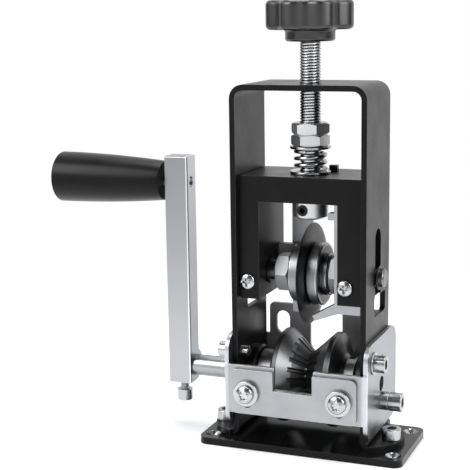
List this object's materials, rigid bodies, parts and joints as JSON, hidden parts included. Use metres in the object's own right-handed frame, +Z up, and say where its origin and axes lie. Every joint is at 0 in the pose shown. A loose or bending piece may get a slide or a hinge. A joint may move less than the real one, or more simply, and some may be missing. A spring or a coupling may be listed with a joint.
{
  "type": "hand crank wire stripper",
  "caption": "Bench wire stripper: a hand crank turns a toothed V roller under a round blade that a star knob raises and lowers in a portal frame.",
  "frame": {"origin": "centre of the four corner holes, on the base plate's underside", "axes": "+Z up along the adjusting rod, +X away from the crank along the drive shaft, -Y towards the side where the cable goes in"},
  "size_m": [0.2114, 0.0679, 0.2405],
  "materials": {
    "black_metal": "satin black",
    "plated_steel": "satin zinc",
    "crank_metal": "satin",
    "bright_steel": "bright",
    "turned_steel": "turned",
    "tool_steel": "dark ground",
    "black_oxide": "black oxide",
    "bronze": "turned",
    "black_plastic": "satin",
    "grey_plastic": "satin"
  },
  "bodies": {
    "frame": {"base_plate": "black_metal", "portal_frame": "black_metal", "foot_screws": "bright_steel", "guide_bracket": "plated_steel", "bracket_screws": "bright_steel", "bracket_washers": "bright_steel", "side_lock_spacer": "bright_steel", "side_lock_screw": "bright_steel", "gate_screws": "bright_steel", "gate_washers": "bright_steel", "rear_plate": "black_metal", "left_bearing": "black_metal", "right_bearing": "black_metal"},
    "crank": {"drive_shaft": "turned_steel", "thrust_washer": "bright_steel", "left_roller_half": "tool_steel", "right_roller_half": "tool_steel", "roller_set_screw": "black_oxide", "crank_arm": "crank_metal", "clamp_screw": "bright_steel", "grip_stud": "bright_steel"},
    "handgrip": {"grip": "black_plastic"},
    "carriage": {"carriage_yoke": "black_metal", "yoke_screws": "bright_steel", "axle_bushes": "bronze", "lower_washer": "bright_steel", "pressure_spring": "bright_steel", "upper_washer": "bright_steel", "spring_stop": "black_oxide", "jacket_plough": "plated_steel", "rear_bar": "plated_steel", "rear_bar_block": "tool_steel"},
    "blade": {"blade_axle": "turned_steel", "cutting_blade": "tool_steel", "left_blade_flange": "turned_steel", "right_blade_flange": "turned_steel", "blade_nut_washer": "tool_steel", "left_blade_nut": "bright_steel", "right_blade_nut": "bright_steel", "axle_clips": "black_oxide"},
    "adjuster": {"threaded_rod": "turned_steel", "lower_jam_nut": "bright_steel", "upper_jam_nut": "bright_steel", "retaining_collar": "bright_steel", "collar_set_screw": "black_oxide", "star_knob": "black_plastic", "knob_cap": "grey_plastic"},
    "gate": {"cable_gate": "plated_steel"}
  },
  "joints": [
    {"name": "crank_turn", "type": "hinge", "parent": "frame", "child": "crank", "pos_m": [-0.002, 0.0045, 0.0346], "axis": [1, 0, 0], "continuous": true},
    {"name": "grip_spin", "type": "hinge", "parent": "crank", "child": "handgrip", "pos_m": [-0.122, 0.003, 0.1406], "axis": [1, 0, 0], "continuous": true},
    {"name": "carriage_slide", "type": "slide", "parent": "frame", "child": "carriage", "axis": [0, 0, 1], "range_m": [-0.01, 0.017]},
    {"name": "adjuster_turn", "type": "hinge", "parent": "carriage", "child": "adjuster", "pos_m": [-0.002, 0.0045, 0.2], "axis": [0, 0, 1], "range_deg": [-2430, 4110]},
    {"name": "blade_spin", "type": "hinge", "parent": "carriage", "child": "blade", "pos_m": [-0.002, 0.0045, 0.0931], "axis": [1, 0, 0], "continuous": true},
    {"name": "gate_slide", "type": "slide", "parent": "frame", "child": "gate", "axis": [0, 0, 1], "range_m": [-0.003, 0.005]}
  ],
  "couplings": [
    {"joint": "adjuster_turn", "follows": "carriage_slide", "rad_per_m": 4188.8}
  ]
}
